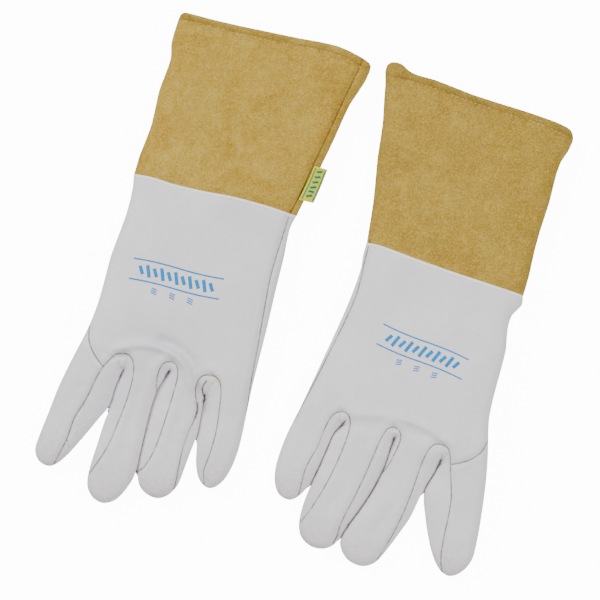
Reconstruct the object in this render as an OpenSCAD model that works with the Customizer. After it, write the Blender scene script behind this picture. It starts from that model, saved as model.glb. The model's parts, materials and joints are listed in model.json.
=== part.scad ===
// A pair of gauntlet welding gloves, lying side by side with the backs of the hands up.
// Grain leather hands, split leather cuffs, thumbs folded flat under the palms.
// Each glove is drawn as a right-hand glove about the middle of its wrist seam:
// +Y to the cuff, -Y to the fingertips, +X to the index finger, Z 0 on the table.

/* [Cuff] */
// Length of the cuff, from the wrist seam to its mouth
cuff_len = 120; // [90:5:150]
// Width of the cuff's mouth
mouth_w = 138; // [126:1:146]
// Height of the cuff's mouth as it lies
mouth_h = 20; // [16:1:26]
// Thickness of the split leather
split = 1.5; // [1.2:0.1:1.8]
// Depth of the folded hem round the mouth
hem_len = 10.5; // [8:0.5:14]

/* [Hand] */
// Width across the wrist seam
wrist_w = 117; // [110:1:122]
// Distance from the wrist seam to the finger forks
palm_len = 122; // [118:1:128]
// Height of the hand, from palm to back
hand_h = 14; // [12:1:18]
// Thickness of the grain leather
hide = 1.2; // [0.9:0.1:1.4]

/* [Fingers] */
// Width of a finger where it leaves the hand
finger_w = 30.6; // [28:0.2:30.6]
// Height of a finger near its tip
finger_h = 16; // [13:0.5:18]
// Height of the thumb as it lies flat under the palm
thumb_h = 9.3; // [8:0.1:9.3]
// Length of the thumb from its pivot
thumb_len = 68; // [60:1:68]

/* [Pair] */
// Distance between the middles of the two wrist seams
pair_gap = 168; // [160:1:200]
// Turn of the left glove
left_turn = 4; // [0:0.5:5]
// Turn of the right glove
right_turn = -1.5; // [-5:0.5:0]

/* [Hidden] */
pair_shift = [-6.5, 51.2];      // centres the pair on the origin
palm_up = 10;                   // the folded thumb holds the palm this far off the table
stub_len = 24;                  // the hand's leather runs this far into each finger
gap = 0.3;                      // clearance between bodies that turn
mouth_index_side = 54;          // the mouth reaches this far to the index side
wrist_dip = 3;                  // the wrist's underside clears the table by this much
wrist_top = palm_up + hand_h - 3;
waist = 0.03;                   // share by which the hand narrows in its middle
little_tuck = 0.6;              // the little finger's knuckle stands in by this much
knuckle_flare = 0.13;           // share by which it widens at the index knuckle
fan_from = 0.45;                // the fingers' fan starts this far down the hand
palm_rise = 0.28;               // from the wrist the palm rises over this share of the hand
back_rise = 0.3;                // and the back of the hand over this one
fall = 50;                      // a finger comes down to the table over this length
thin = 60;                      // and thins to its height near the tip over this one
hand_power = 0.5;               // flat section with round edges
finger_power = 0.77;            // fuller section
hand_seam = 150;                // little-finger side seam, as an angle round the section
edge_seam = -10;                // index side seam, just under the edge
top_seam = 60;                  // finger seams, measured the same way
low_seam = -50;
wrap_seam = -130;               // the index finger's own seam, beneath it
hem_lift = 0.6;                 // the hem stands this far proud of the cuff
welt_w = 2;
cup_r = 17;                     // the thumb's base, under the palm
cup_rise = 3;                   // its wall stands this far up in the palm's hole
thumb_r = 15;
thumb_pivot = [38, -56];
cup_open = [-145, 20];          // the side of the base that the thumb leaves by
tack_w = 1.6;                   // joins the two strips of a fork at its crotch
tack_len = 3;
tack_h = 5;
tag_len = 26;                   // the folded tape in the left cuff's seam
tag_w = 14;
tag_wall = 0.5;
tag_at = [-53, 10.5, 14];
tag_turn = 8;

// name, middle of the root, half width at the root, half width near the tip
FINGERS = [
    ["index", 50.6, finger_w / 2, 15.5],
    ["middle", 19.6, finger_w / 2, 15.5],
    ["ring", -11.6, finger_w / 2, 15.5],
    ["little", -42.6, finger_w / 2 - 0.5, 14],
];
// how each glove lies: how far the knuckles spread, then each finger's splay and reach
LIE_RIGHT = [1.1, [16, 82], [-6.5, 94], [-5, 92], [-6, 67]];
LIE_LEFT = [1.0, [14.5, 90], [3, 105], [1.5, 93], [-1, 77]];

HAND_PIECES = ["back_panel", "palm_panel", "index_knuckle", "thumb_base", "wrist_welt",
    "fork_index_middle", "fork_middle_ring", "fork_ring_little"];
CUFF_PIECES = ["cuff_back", "cuff_palm", "cuff_hem"];
FINGER_PIECES = ["index_wrap", "index_gusset",
    "middle_back", "middle_front", "middle_index_gusset", "middle_ring_gusset",
    "ring_back", "ring_front", "ring_middle_gusset", "ring_little_gusset",
    "little_back", "little_front", "little_gusset"];
THUMB_PIECES = ["thumb_front", "thumb_back"];
PIECES = concat(HAND_PIECES, CUFF_PIECES, FINGER_PIECES, THUMB_PIECES);

GRAIN = [0.79, 0.78, 0.79];
SUEDE = [0.70, 0.58, 0.36];

// ---- sections, panels and bands ----

function smooth(t) = let (c = min(max(t, 0), 1)) c * c * (3 - 2 * c);
function mix(a, b, t) = a + (b - a) * t;
function signed_power(v, e) = sign(v) * pow(abs(v), e);

// A ring is one cross-section: [x, y, heading, half width, bottom, top, power].
// Angle 0 is its index side, 90 its top, 180 its little-finger side, 270 its bottom.
function ring_point(r, angle, inset) =
    let (across = (r[3] - inset) * signed_power(cos(angle), r[6]),
         rise = ((r[5] - r[4]) / 2 - inset) * signed_power(sin(angle), r[6]))
    [r[0] + across * cos(r[2]), r[1] + across * sin(r[2]), (r[4] + r[5]) / 2 + rise];

function two_triangles(a, b, c, d) = [[a, b, c], [a, c, d]];
function flatten(list) = [for (part = list) each part];

// One piece of leather of that wall, following the rings between two angles.
module panel(rings, from, to, steps, wall) {
    row = steps + 1;
    last = len(rings) - 1;
    skin = len(rings) * row;
    points = [for (inset = [0, wall], r = rings, i = [0:steps])
        ring_point(r, from + (to - from) * i / steps, inset)];
    outer = flatten([for (i = [0:last - 1], j = [0:steps - 1]) let (k = i * row + j)
        two_triangles(k + 1, k, k + row, k + row + 1)]);
    inner = flatten([for (i = [0:last - 1], j = [0:steps - 1]) let (k = skin + i * row + j)
        two_triangles(k + row + 1, k + row, k, k + 1)]);
    near_edge = flatten([for (i = [0:last - 1]) let (k = i * row)
        two_triangles(k + row, k, k + skin, k + row + skin)]);
    far_edge = flatten([for (i = [0:last - 1]) let (k = i * row + steps)
        two_triangles(k, k + row, k + row + skin, k + skin)]);
    start = flatten([for (j = [0:steps - 1])
        two_triangles(j, j + 1, j + 1 + skin, j + skin)]);
    end = flatten([for (j = [0:steps - 1]) let (k = last * row + j)
        two_triangles(k + 1, k, k + skin, k + 1 + skin)]);
    polyhedron(points, concat(outer, inner, near_edge, far_edge, start, end), convexity = 6);
}

// The solid that a stack of rings encloses.
module loft(rings, steps, inset) {
    last = len(rings) - 1;
    points = [for (r = rings, i = [0:steps - 1]) ring_point(r, 360 * i / steps, inset)];
    sides = flatten([for (i = [0:last - 1], j = [0:steps - 1])
        let (k = i * steps + j, n = i * steps + (j + 1) % steps)
        two_triangles(n, k, k + steps, n + steps)]);
    caps = [[for (j = [0:steps - 1]) j], [for (j = [steps - 1:-1:0]) last * steps + j]];
    polyhedron(points, concat(sides, caps), convexity = 4);
}

// A closed band of leather right round two rings.
module band(near, far, steps, wall) {
    reach = [far[0] - near[0], far[1] - near[1]];
    function past(r, way) = [r[0] + way * reach[0], r[1] + way * reach[1],
        r[2], r[3], r[4], r[5], r[6]];
    difference() {
        loft([near, far], steps, 0);
        loft([past(near, -1), past(far, 1)], steps, wall);
    }
}

// ---- the shape of a glove ----

function between(y, left, right, low, high) =
    [(left + right) / 2, y, 0, (right - left) / 2, low, high, hand_power];

function cuff_ring(t, proud) =
    let (little_side = mix(wrist_w / 2, mouth_w - mouth_index_side, t),
         index_side = mix(wrist_w / 2, mouth_index_side, t),
         low = hem_lift * smooth(2 * t) + wrist_dip * (1 - smooth(3 * t)),
         high = mix(wrist_top, mouth_h, t))
    between(mix(welt_w / 2 + gap, cuff_len, t),
        -little_side - proud, index_side + proud, low - proud, high + proud);

// Widths are shares of the wrist's; the knuckles also fan out with the fingers.
function hand_ring(t, lie) =
    let (fan = 1 + (lie[0] - 1) * smooth((t - fan_from) / (1 - fan_from)),
         narrower = waist * sin(180 * t),
         low = mix(wrist_dip, palm_up, smooth(t / palm_rise)),
         high = mix(wrist_top, palm_up + hand_h, smooth(t / back_rise)))
    between(-mix(welt_w / 2, palm_len, t),
        -wrist_w / 2 * (1 - narrower) * fan + little_tuck * t,
        wrist_w / 2 * (1 + knuckle_flare * pow(t, 3) - narrower) * fan, low, high);

// A point down a finger: it turns from straight ahead to its splay over the stub.
function finger_ring(finger, lie, t) =
    let (splay = abs(lie[finger + 1][0]) < 0.5 ? 0.5 : lie[finger + 1][0],
         reach = lie[finger + 1][1],
         radius = stub_len / (splay * PI / 180),
         turned = splay * min(t / stub_len, 1),
         beyond = max(t - stub_len, 0),
         root = FINGERS[finger],
         widest = mix(mix(root[2] * lie[0], root[2], smooth(t / stub_len)), root[3], smooth(t / reach)),
         cap = sqrt(1 - pow(max(0, (t - reach + widest) / widest), 2)),
         low = palm_up * (1 - smooth(t / fall)),
         high = mix(palm_up + hand_h, finger_h, smooth(t / thin)),
         mid = (low + high) / 2)
    [root[1] * lie[0] + radius * (1 - cos(turned)) + beyond * sin(splay),
     -palm_len - radius * sin(turned) - beyond * cos(splay),
     turned, widest * cap, mix(mid, low, sqrt(cap)), mix(mid, high, sqrt(cap)), finger_power];

function hand_rings(lie) = [for (t = [0, 0.14, 0.28, 0.5, 0.75, 0.9, 1]) hand_ring(t, lie)];
function stub_rings(finger, lie) =
    [for (t = [0, 0.5, 1]) finger_ring(finger, lie, t * stub_len)];
function finger_rings(finger, lie) =
    let (reach = lie[finger + 1][1], round_from = reach - FINGERS[finger][3])
    concat([for (t = [0, 0.5]) finger_ring(finger, lie, mix(stub_len + gap, round_from, t))],
        [for (a = [0, 30, 50, 68, 84]) finger_ring(finger, lie, mix(round_from, reach, sin(a)))]);

// ---- the hand ----

module back_panel(lie) {
    color(GRAIN) {
        panel(hand_rings(lie), edge_seam, hand_seam, 16, hide);
        for (finger = [1, 2]) panel(stub_rings(finger, lie), top_seam, 180 - top_seam, 4, hide);
        panel(stub_rings(3, lie), top_seam, 180, 6, hide);
    }
}

module palm_panel(lie) {
    color(GRAIN) {
        difference() {
            panel(hand_rings(lie), hand_seam, 360 + edge_seam, 20, hide);
            translate([thumb_pivot[0], thumb_pivot[1], 0])
                cylinder(r = cup_r, h = palm_up + cup_rise, $fn = 48);
        }
        for (finger = [1, 2])
            panel(stub_rings(finger, lie), 180 - low_seam, 360 + low_seam, 4, hide);
        panel(stub_rings(3, lie), 180, 360 + low_seam, 6, hide);
    }
}

module index_knuckle(lie) {
    color(GRAIN) panel(stub_rings(0, lie), wrap_seam, 180 - top_seam, 12, hide);
}

// The two strips beside a finger and the next, tacked together in the crotch.
module fork(finger, lie) {
    crotch = (FINGERS[finger][1] - FINGERS[finger][2]
        + FINGERS[finger + 1][1] + FINGERS[finger + 1][2]) / 2 * lie[0];
    color(GRAIN) {
        panel(stub_rings(finger, lie), 180 - top_seam, 180 - low_seam, 5, hide);
        panel(stub_rings(finger + 1, lie), low_seam, top_seam, 5, hide);
        translate([crotch - tack_w / 2, -palm_len - tack_len, palm_up + (hand_h - tack_h) / 2])
            cube([tack_w, tack_len, tack_h]);
    }
}

// The thumb's piece, sewn round a hole in the palm; the thumb leaves by its open side.
module thumb_base() {
    far = 3 * cup_r;
    color(GRAIN) translate([thumb_pivot[0], thumb_pivot[1], 0]) {
        cylinder(r = cup_r, h = hide, $fn = 48);
        linear_extrude(palm_up + cup_rise) difference() {
            circle(cup_r, $fn = 48);
            circle(cup_r - hide, $fn = 48);
            polygon([[0, 0], for (a = [cup_open[0], -60, cup_open[1]]) far * [cos(a), sin(a)]]);
        }
    }
}

// The folded strip sewn in round the wrist, a little proud of the leather on both sides.
module wrist_welt() {
    proud = 0.5;
    side = wrist_w / 2 + proud;
    function edge(y) = between(y, -side, side, wrist_dip - proud, wrist_top + proud);
    color(GRAIN) band(edge(welt_w / 2), edge(-welt_w / 2), 32, hide + proud);
}

// ---- the cuff ----

// From the hem to the wrist.
function cuff_rings() =
    [for (t = [1, 0.65, 0.35, 0.15, 0]) cuff_ring(t * (1 - hem_len / cuff_len), 0)];

module cuff_back() {
    color(SUEDE) panel(cuff_rings(), 0, hand_seam, 14, split);
}

module cuff_palm() {
    color(SUEDE) panel(cuff_rings(), hand_seam, 360, 20, split);
}

module cuff_hem() {
    color(SUEDE) band(cuff_ring(1, hem_lift), cuff_ring(1 - hem_len / cuff_len, hem_lift), 36,
        2 * split);
}

// A folded tape, sewn into the cuff's seam; its ends stop at the leather.
module label() {
    color([0.85, 0.82, 0.15]) difference() {
        translate(tag_at) rotate(tag_turn) translate([-tag_w, 0, 0]) difference() {
            cube([tag_w, tag_len, 4 * tag_wall]);
            translate([tag_wall, -1, tag_wall]) cube([tag_w, tag_len + 2, 2 * tag_wall]);
        }
        loft(cuff_rings(), 48, 0);
    }
}

// ---- the fingers ----

module index_wrap(lie) {
    color(GRAIN) panel(finger_rings(0, lie), wrap_seam, 180 - top_seam, 12, hide);
}

// Back and front strips; the little finger's meet along its outer side.
module finger_back(finger, lie) {
    to = finger == 3 ? 180 : 180 - top_seam;
    color(GRAIN) panel(finger_rings(finger, lie), top_seam, to, 5, hide);
}

module finger_front(finger, lie) {
    from = finger == 3 ? 180 : 180 - low_seam;
    color(GRAIN) panel(finger_rings(finger, lie), from, 360 + low_seam, 5, hide);
}

// Side strips: one faces the index side, the other the little-finger side.
module index_side_gusset(finger, lie) {
    color(GRAIN) panel(finger_rings(finger, lie), low_seam, top_seam, 5, hide);
}

module little_side_gusset(finger, lie) {
    color(GRAIN) panel(finger_rings(finger, lie), 180 - top_seam, 180 - low_seam, 5, hide);
}

// ---- the thumb ----

module thumb_plan(r) {
    difference() {
        union() {
            translate([-r, thumb_r - thumb_len]) square([2 * r, thumb_len - thumb_r]);
            translate([0, thumb_r - thumb_len]) circle(r, $fn = 48);
        }
        circle(cup_r + (r < thumb_r ? -hide : gap), $fn = 64);
    }
}

// One leather half of the thumb, open where it meets the other half.
module thumb_half(from, to, skin) {
    color(GRAIN) translate([thumb_pivot[0], thumb_pivot[1], 0]) {
        translate([0, 0, skin]) linear_extrude(hide) thumb_plan(thumb_r);
        translate([0, 0, from]) linear_extrude(to - from) difference() {
            thumb_plan(thumb_r);
            thumb_plan(thumb_r - hide);
        }
    }
}

module thumb_front() {
    thumb_half(0, thumb_h / 2, 0);
}

module thumb_back() {
    thumb_half(thumb_h / 2, thumb_h, thumb_h - hide);
}

// ---- the pair ----

module piece(name, lie) {
    if (name == "back_panel") back_panel(lie);
    if (name == "palm_panel") palm_panel(lie);
    if (name == "index_knuckle") index_knuckle(lie);
    if (name == "thumb_base") thumb_base();
    if (name == "wrist_welt") wrist_welt();
    if (name == "fork_index_middle") fork(0, lie);
    if (name == "fork_middle_ring") fork(1, lie);
    if (name == "fork_ring_little") fork(2, lie);
    if (name == "cuff_back") cuff_back();
    if (name == "cuff_palm") cuff_palm();
    if (name == "cuff_hem") cuff_hem();
    if (name == "label") label();
    if (name == "index_wrap") index_wrap(lie);
    if (name == "index_gusset") little_side_gusset(0, lie);
    if (name == "middle_back") finger_back(1, lie);
    if (name == "middle_front") finger_front(1, lie);
    if (name == "middle_index_gusset") index_side_gusset(1, lie);
    if (name == "middle_ring_gusset") little_side_gusset(1, lie);
    if (name == "ring_back") finger_back(2, lie);
    if (name == "ring_front") finger_front(2, lie);
    if (name == "ring_middle_gusset") index_side_gusset(2, lie);
    if (name == "ring_little_gusset") little_side_gusset(2, lie);
    if (name == "little_back") finger_back(3, lie);
    if (name == "little_front") finger_front(3, lie);
    if (name == "little_gusset") index_side_gusset(3, lie);
    if (name == "thumb_front") thumb_front();
    if (name == "thumb_back") thumb_back();
}

// Puts a right-hand glove in its place: side 1 is the right one, -1 the left, mirrored.
module lay(side) {
    translate([side * pair_gap / 2 + pair_shift[0], pair_shift[1], 0])
        rotate(side > 0 ? right_turn : left_turn)
            mirror([side < 0 ? 1 : 0, 0, 0]) children();
}

for (name = concat(PIECES, ["label"]))
    lay(-1) piece(name, LIE_LEFT);
for (name = PIECES)
    lay(1) piece(name, LIE_RIGHT);
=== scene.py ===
import json
import math

import bpy
import numpy as np
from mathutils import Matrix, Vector, noise
from mathutils.bvhtree import BVHTree
from mathutils.geometry import delaunay_2d_cdt
from mathutils.kdtree import KDTree


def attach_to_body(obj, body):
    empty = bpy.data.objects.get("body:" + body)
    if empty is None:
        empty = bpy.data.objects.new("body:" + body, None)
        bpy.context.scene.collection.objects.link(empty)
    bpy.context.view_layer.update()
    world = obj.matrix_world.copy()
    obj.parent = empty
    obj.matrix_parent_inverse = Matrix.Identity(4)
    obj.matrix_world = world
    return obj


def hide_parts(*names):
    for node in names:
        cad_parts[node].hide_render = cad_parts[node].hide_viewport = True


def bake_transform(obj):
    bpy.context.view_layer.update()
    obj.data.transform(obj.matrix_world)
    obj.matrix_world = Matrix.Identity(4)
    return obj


# A pair of gauntlet welding gloves: grain leather hands, split leather cuffs, thumbs folded under
# the palms. Each glove is drawn flat in its own frame, in millimetres: x to the index finger, y to
# the cuff, origin at the middle of the wrist seam. The flat shape is cut into triangles along every
# seam, blown up into a top and a bottom sheet that meet at the rim, split into the pieces of
# leather, and given the leather's thickness.

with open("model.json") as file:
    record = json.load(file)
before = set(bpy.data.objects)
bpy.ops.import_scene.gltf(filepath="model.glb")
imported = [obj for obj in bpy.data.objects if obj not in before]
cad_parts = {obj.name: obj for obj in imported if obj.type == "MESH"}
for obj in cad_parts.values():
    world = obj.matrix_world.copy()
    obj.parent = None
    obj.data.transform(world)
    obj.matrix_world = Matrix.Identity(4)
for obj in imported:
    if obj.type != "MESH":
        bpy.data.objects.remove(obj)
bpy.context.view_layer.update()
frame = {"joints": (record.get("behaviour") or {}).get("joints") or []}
JOINTS = {joint["name"]: joint for joint in frame["joints"]}
MM = 0.001
FINGERS = ("index", "middle", "ring", "little")
FORKS = ("index_middle", "middle_ring", "ring_little")

# ---- the two gloves as they lie ----
# fingers: the outline of each finger, from the crotch on its index side round its tip to the next.
# forks: the two seams that start together above each crotch, one down each finger.
# folds: a line, the height of its ridge and its width. creases: a line and how sharp it is; a crease is
# both cut into the leather and darkened with painted shade.
# print: the middle of the mark and its slope in degrees. cuff_wear, and the painted shade in the gaps
# between touching fingers: how much there is, up to 1.

LEFT = {
    "side": -1,
    "fingers": [
        [(58.6, 0), (57.2, -9), (57, -28), (60.3, -58), (61, -91), (64, -113), (68.2, -130),
         (73.8, -155), (76.6, -176), (79, -194), (79.2, -203), (75, -209.5), (67, -211.5),
         (60, -206), (50.6, -190), (40.6, -169.5), (36.5, -161), (35.4, -146), (32.8, -134)],
        [(32.8, -134), (34.8, -146), (35.3, -161), (37, -171), (38.2, -189), (39.3, -208),
         (37.4, -219.4), (31.5, -225.7), (24, -227.4), (16, -222.8), (10.5, -213), (7.5, -203),
         (7.6, -187), (7.9, -163), (6.6, -142), (1.4, -126.5)],
        [(1.4, -126.5), (5.8, -142), (7.2, -163), (6.9, -187), (6.2, -200), (2.5, -209.5),
         (-5, -214.4), (-12.4, -214.8), (-18.5, -211), (-23.2, -203), (-24.8, -193), (-26.4, -178),
         (-28, -165), (-27, -148), (-26.4, -137)],
        [(-26.4, -137), (-27.6, -148), (-28.6, -165), (-30.4, -178), (-33.2, -188.5), (-38, -196.5),
         (-45, -199.5), (-51.5, -195), (-56.3, -184), (-58.5, -168), (-58.2, -148), (-57.3, -126),
         (-57.4, -83), (-56.9, -54), (-56.9, -29), (-56.2, -9), (-58.6, 0)],
    ],
    "cuff_little_side": [(-58.6, 0), (-66.9, 38.3), (-71.2, 59), (-75.8, 83.8), (-82.2, 102),
                         (-83.7, 110.5)],
    "mouth": [(-83.7, 110.5), (-83.1, 113.8), (-78.6, 116.4), (-71, 118.6), (-57, 121),
              (-30.8, 119.9), (12.1, 118.3), (35, 118), (46.7, 118.2), (52.3, 117.7), (54.7, 114)],
    "cuff_index_side": [(54.7, 114), (55.6, 94.8), (53.6, 86), (54.4, 74), (55.9, 61), (55.3, 36.7),
                        (58, 14.3), (58.6, 0)],
    "wrist": [(61, 0.4), (44, 1.2), (31, 0.2), (6, 0.6), (-12, 1.7), (-37, 1.2), (-52.6, 0),
              (-61, -0.6)],
    "hem": [(57, 112), (46, 113), (12, 112.8), (-30, 114.2), (-54, 115.2), (-70, 112.6),
            (-77, 110.6), (-87, 107)],
    "forks": [
        ([(36, -122.4), (39.4, -123.6), (43.2, -128.6), (47.6, -137), (50.5, -148.4), (53, -160),
          (57.7, -174), (59.3, -190), (65.5, -214)],
         [(36, -122.4), (31.6, -122.2), (27.6, -125.6), (25.4, -132), (24.8, -142), (25.3, -153),
          (27.5, -170), (31, -190), (39, -211), (41, -217)]),
        ([(1.2, -119.6), (5.2, -121.2), (8, -126), (8.4, -134), (7, -142.3)],
         [(1.2, -119.6), (-2.6, -121.4), (-5, -128), (-5, -141), (-4.2, -156), (-1.6, -183),
          (2.5, -196), (9, -208)]),
        ([(-27.8, -122.4), (-23, -123.4), (-19.6, -128), (-19.6, -136), (-22.6, -144),
          (-23.9, -152), (-22, -163), (-20.6, -178), (-21.4, -197), (-21.4, -213)],
         [(-27.8, -122.4), (-32.6, -123.6), (-36, -128.4), (-38.2, -140), (-40.3, -160),
          (-39.8, -177), (-38.5, -188), (-43, -203)]),
    ],
    "index_edge": [(65.5, -104), (62.8, -110), (61.4, -117), (58.6, -123), (53.7, -128.8),
                   (47.6, -134)],
    "side_seam": [(-53.4, 2), (-52.4, -16), (-51, -45), (-52.4, -70), (-54.2, -95), (-56, -126),
                  (-59.5, -150)],
    "cuff_seam": [(-53.4, -1), (-57.1, 14), (-60.6, 34.6), (-65.4, 58), (-71, 88), (-75.4, 108),
                  (-77.5, 121)],
    "folds": [
        ([(40, -121), (31, -115.4), (19, -112.6), (7, -113), (-3.5, -116.8), (-10.8, -123.1),
          (-16.4, -133.7), (-21.6, -142)], 3.2, 2.0),
        ([(12, -107.4), (2, -108.6), (-8, -113), (-15.4, -120.4), (-19, -129),
          (-21, -134)], -3.2, 2.9),
        ([(34, -109), (20, -106.5), (6, -107)], -0.9, 5),
        ([(12, -118.5), (17, -124), (19, -140), (20, -165), (17, -190)], -1.2, 4.5),
        ([(-8, -132), (-13, -150), (-12, -175)], -0.9, 4),
        ([(57, -132), (62, -150), (70, -178)], -0.8, 5),
        ([(50, -124.6), (45.6, -126.6), (40, -127)], -1.0, 1.3),
        ([(38.6, -124), (36.6, -129), (36.4, -135)], -0.9, 1.0),
        ([(-31, -126), (-28, -130.6), (-29.6, -138)], -1.2, 1.4),
        ([(58, -151), (61, -156), (62.4, -163)], -0.8, 1.8),
        ([(52, 103), (40, 106), (24, 107)], 1.1, 3.5),
        ([(54, 90), (44, 88), (34, 84)], -0.8, 4),
        ([(-55, 104), (-66, 98), (-74, 97)], 0.9, 4),
    ],
    "creases": [
        ([(38.3, -129.4), (36.4, -130.4), (34.8, -132.6)], 0.6),
        ([(31.6, -125), (31.8, -132.3), (33.4, -139.5)], 0.55),
        ([(-25.4, -127.1), (-23.8, -132.1), (-25.1, -136.6), (-27.8, -140)], 1.3),
        ([(-22.6, -143.5), (-24, -148.5), (-23.7, -154)], 1.5),
        ([(54, -163.5), (57.6, -173.6), (59, -187)], 0.8),
        ([(59.2, -190), (56.4, -195.6)], 0.7),
        ([(-28.3, -121.7), (-32.3, -123.3), (-35, -126)], 0.8),
    ],
    "print": ((12, -63), 1.2),
    "gap_shade": 0.34,
    "loose_threads": [(-31.5, -126.3)],
    "cuff_wear": 0.08,
}

RIGHT = {
    "side": 1,
    "fingers": [
        [(57.7, 0), (58.9, -5.4), (54.9, -14), (55, -24), (58.6, -38), (60.6, -60), (63.5, -87),
         (70.8, -110), (75.7, -127), (81.3, -152), (85, -174), (85.4, -186), (80.5, -196.3),
         (74, -200.6), (67.3, -199), (59.9, -192.3), (52.2, -181), (43.9, -165.3), (38, -150),
         (40.4, -138), (41.6, -126)],
        [(41.6, -126), (39.8, -138), (37.2, -150), (35.4, -170), (30.4, -188), (26.5, -200),
         (22, -209.5), (15, -214.2), (6, -214.1), (-0.4, -210.7), (-5.3, -204), (-5.3, -198),
         (-0.5, -181), (3.9, -164), (6.5, -143), (5.6, -122)],
        [(5.6, -122), (5.6, -143), (2.9, -164), (-1.7, -181), (-6.7, -198.6), (-7.9, -205),
         (-11.5, -209.8), (-16.5, -212.5), (-24, -213), (-32, -209.3), (-36.4, -202), (-38.4, -188),
         (-37.8, -173), (-36.2, -158), (-35.3, -143), (-34.4, -133), (-31, -125.5)],
        [(-31, -125.5), (-34.9, -133), (-35.9, -143), (-36.9, -158), (-39.2, -173), (-42.6, -182),
         (-48, -187.5), (-56, -186.7), (-61.4, -181), (-64.9, -171), (-65.9, -158), (-65.4, -144),
         (-63.1, -126), (-58.8, -82), (-56, -50), (-55.3, -33), (-55.6, -17.7), (-57.2, -9),
         (-57.7, 0)],
    ],
    "cuff_little_side": [(-57.7, 0), (-63.3, 30), (-70.3, 58), (-75, 82), (-79.6, 98), (-82.6, 109),
                         (-85.2, 116)],
    "mouth": [(-85.2, 116), (-85.4, 120.8), (-82.4, 124), (-76, 124.8), (-71, 122.6),
              (-65.7, 121.3), (-51, 122), (-22, 121), (13, 122.3), (34.6, 122.5), (43.5, 122),
              (50.5, 120.4), (54.5, 114.5)],
    "cuff_index_side": [(54.5, 114.5), (53.9, 107), (51.6, 98), (51.6, 87), (53.3, 69), (53.9, 47),
                        (55.1, 31), (57, 14.7), (57.7, 0)],
    "wrist": [(61, 1), (53, 1.2), (34.6, 0.8), (3.6, 0.2), (-27.6, 0.3), (-49, 0.6), (-61, -1)],
    "hem": [(58, 112.5), (46, 116), (13, 116.8), (-22, 115.7), (-50, 116.3), (-66, 115.2),
            (-76, 114.6), (-89, 113)],
    "forks": [
        ([(38.6, -115.2), (43, -116.2), (46.6, -121.6), (50.2, -131), (57.4, -149.4),
          (60.1, -165.5), (62.9, -183.8), (65.5, -193.3), (71, -203)],
         [(38.6, -115.2), (33.4, -117), (30.4, -123.6), (29.6, -134), (29.8, -148), (29.4, -167.4),
          (27, -188), (21.5, -213)]),
        ([(2.8, -115), (7, -116), (10, -120.6), (9.6, -132), (8.4, -141), (6, -149.5)],
         [(2.8, -115), (-0.6, -117.4), (-2.6, -124), (-3.8, -138), (-4.6, -152), (-6.7, -172),
          (-9.2, -190), (-9.5, -210)]),
        ([(-34.4, -116.6), (-30.4, -117.2), (-27.2, -121), (-25.6, -128), (-25.4, -140),
          (-26.8, -159), (-30.2, -179), (-34.4, -194.5), (-39, -206)],
         [(-34.4, -116.6), (-38.6, -119.4), (-41.4, -127), (-42.4, -146), (-45.2, -163),
          (-44, -178), (-43.4, -190)]),
    ],
    "index_edge": [(70.5, -96), (67.9, -102), (66.2, -110.5), (60.5, -118.5), (54, -123.5),
                   (48.8, -126.4)],
    "side_seam": [(-56, 2), (-54.6, -13), (-52.4, -33), (-52.8, -48), (-55.8, -75), (-59.6, -105),
                  (-63, -127), (-67.5, -150)],
    "cuff_seam": [(-56.2, -1), (-61.9, 30), (-68.9, 58), (-73.6, 82), (-79, 101), (-82.6, 111),
                  (-84, 126)],
    "folds": [
        ([(-31, -117.5), (-15.2, -112.2), (0.8, -108.3), (17.8, -107), (33, -109.8),
          (41, -113.6)], 1.5, 3.0),
        ([(6, -107.8), (17.8, -107), (33, -109.8), (41, -113.6)], 1.5, 1.4),
        ([(12, -103.6), (24, -104.4), (36, -108)], -1.2, 2.4),
        ([(-20, -121), (-6.4, -117.5)], -1.4, 4.5),
        ([(38.6, -118), (40.6, -123), (39.4, -129)], -1.0, 1.1),
        ([(44, -121), (42.4, -126.6)], -0.8, 1.0),
        ([(-30, -122), (-33, -128)], -0.7, 1.2),
        ([(13, -114.5), (24, -114.5), (33, -115.5)], -1.5, 4.0),
        ([(13.6, -122), (19.6, -144), (20.3, -166), (14, -190)], -1.3, 4.0),
        ([(-12, -125), (-14, -150), (-20, -180)], -0.9, 5),
        ([(-48, -122), (-53, -150), (-54, -172)], -0.7, 5),
        ([(62, -125), (66, -150), (74, -180)], -0.8, 5),
        ([(56, -12), (40, -20), (30, -22)], -0.7, 6),
        ([(-80, 117), (-77, 119), (-73, 118.4)], 1.3, 3.5),
        ([(-66, 104), (-58, 97), (-50, 86)], -0.9, 5),
        ([(-60, 108), (-52, 101), (-44, 90)], 0.7, 5),
        ([(-62, 22), (-52, 24), (-44, 20)], -0.8, 4),
    ],
    "creases": [
        ([(-35, -118.8), (-33.8, -124.4), (-29.6, -125.4)], 0.6),
        ([(-30.5, -122.8), (-31.8, -126.5), (-35.2, -132.6), (-35.6, -140)], 1.1),
        ([(40.4, -119), (41.4, -124.6)], 0.5),
        ([(46.8, -123), (44.4, -127.6)], 0.45),
    ],
    "print": ((4, -59), -3.6),
    "gap_shade": 0.8,
    "loose_threads": [],
    "cuff_wear": 0.62,
}

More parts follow.
